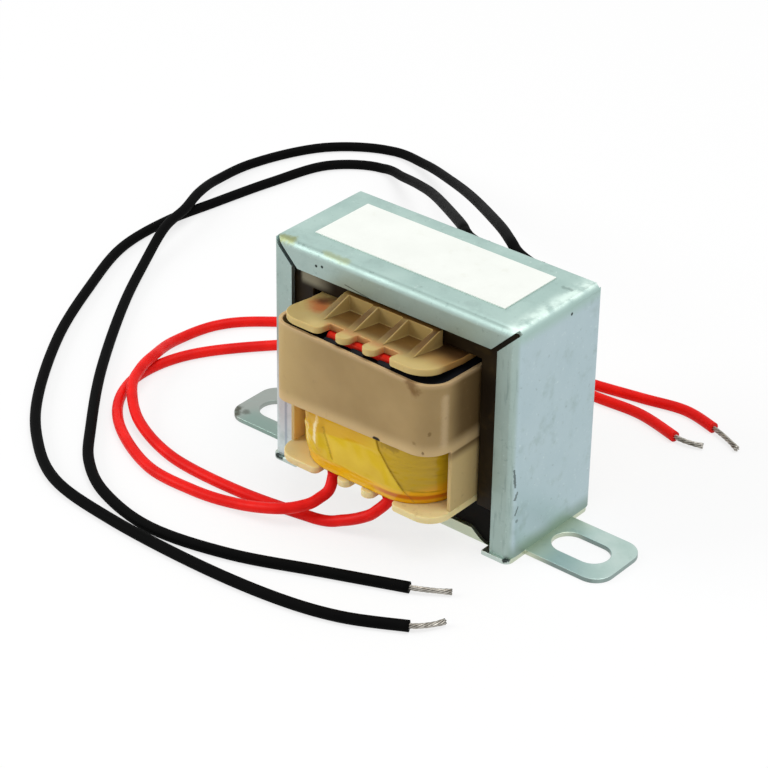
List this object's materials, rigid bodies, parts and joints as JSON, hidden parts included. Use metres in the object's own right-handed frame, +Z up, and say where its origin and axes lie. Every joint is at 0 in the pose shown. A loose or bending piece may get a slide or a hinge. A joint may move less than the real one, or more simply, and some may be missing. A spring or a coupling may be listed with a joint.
{
  "type": "transformer",
  "caption": "Small laminated-core transformer in a folded steel cover, on a base plate with slotted ears, with a nylon coil former, taped windings and free wire leads.",
  "frame": {"origin": "middle of the base plate's underside", "axes": "+X along the ears, +Y from the front to the back, +Z up out of the base plate"},
  "size_m": [0.1031, 0.0998, 0.0308],
  "materials": {
    "zinc_sheet": "zinc-plated, pale blue-green passivated",
    "core_iron": "varnished electrical steel sheets",
    "nylon": "moulded nylon, aged to a warm tan",
    "tan_nylon": "moulded nylon, satin",
    "copper": "enamelled copper wire",
    "black_wrap": "black insulating wrap",
    "yellow_tape": "glossy polyester tape",
    "red_sleeve": "red insulating sleeve",
    "label_film": "blank white film",
    "black_pvc": "extruded PVC",
    "red_pvc": "extruded PVC",
    "tinned_copper": "tinned copper strands"
  },
  "bodies": {
    "root": {"cover": "zinc_sheet", "base_plate": "zinc_sheet", "e_laminations": "core_iron", "closing_bars": "core_iron", "coil_former": "nylon", "winding_sleeve": "tan_nylon", "upper_winding": "copper", "upper_wrap": "black_wrap", "lower_winding": "copper", "lower_tape": "yellow_tape", "joint_sleeve": "red_sleeve", "label": "label_film", "black_lead_a": "black_pvc", "black_lead_b": "black_pvc", "red_lead_a": "red_pvc", "red_lead_b": "red_pvc", "black_strands_a": "tinned_copper", "black_strands_b": "tinned_copper", "red_strands_a": "tinned_copper", "red_strands_b": "tinned_copper"}
  },
  "joints": []
}
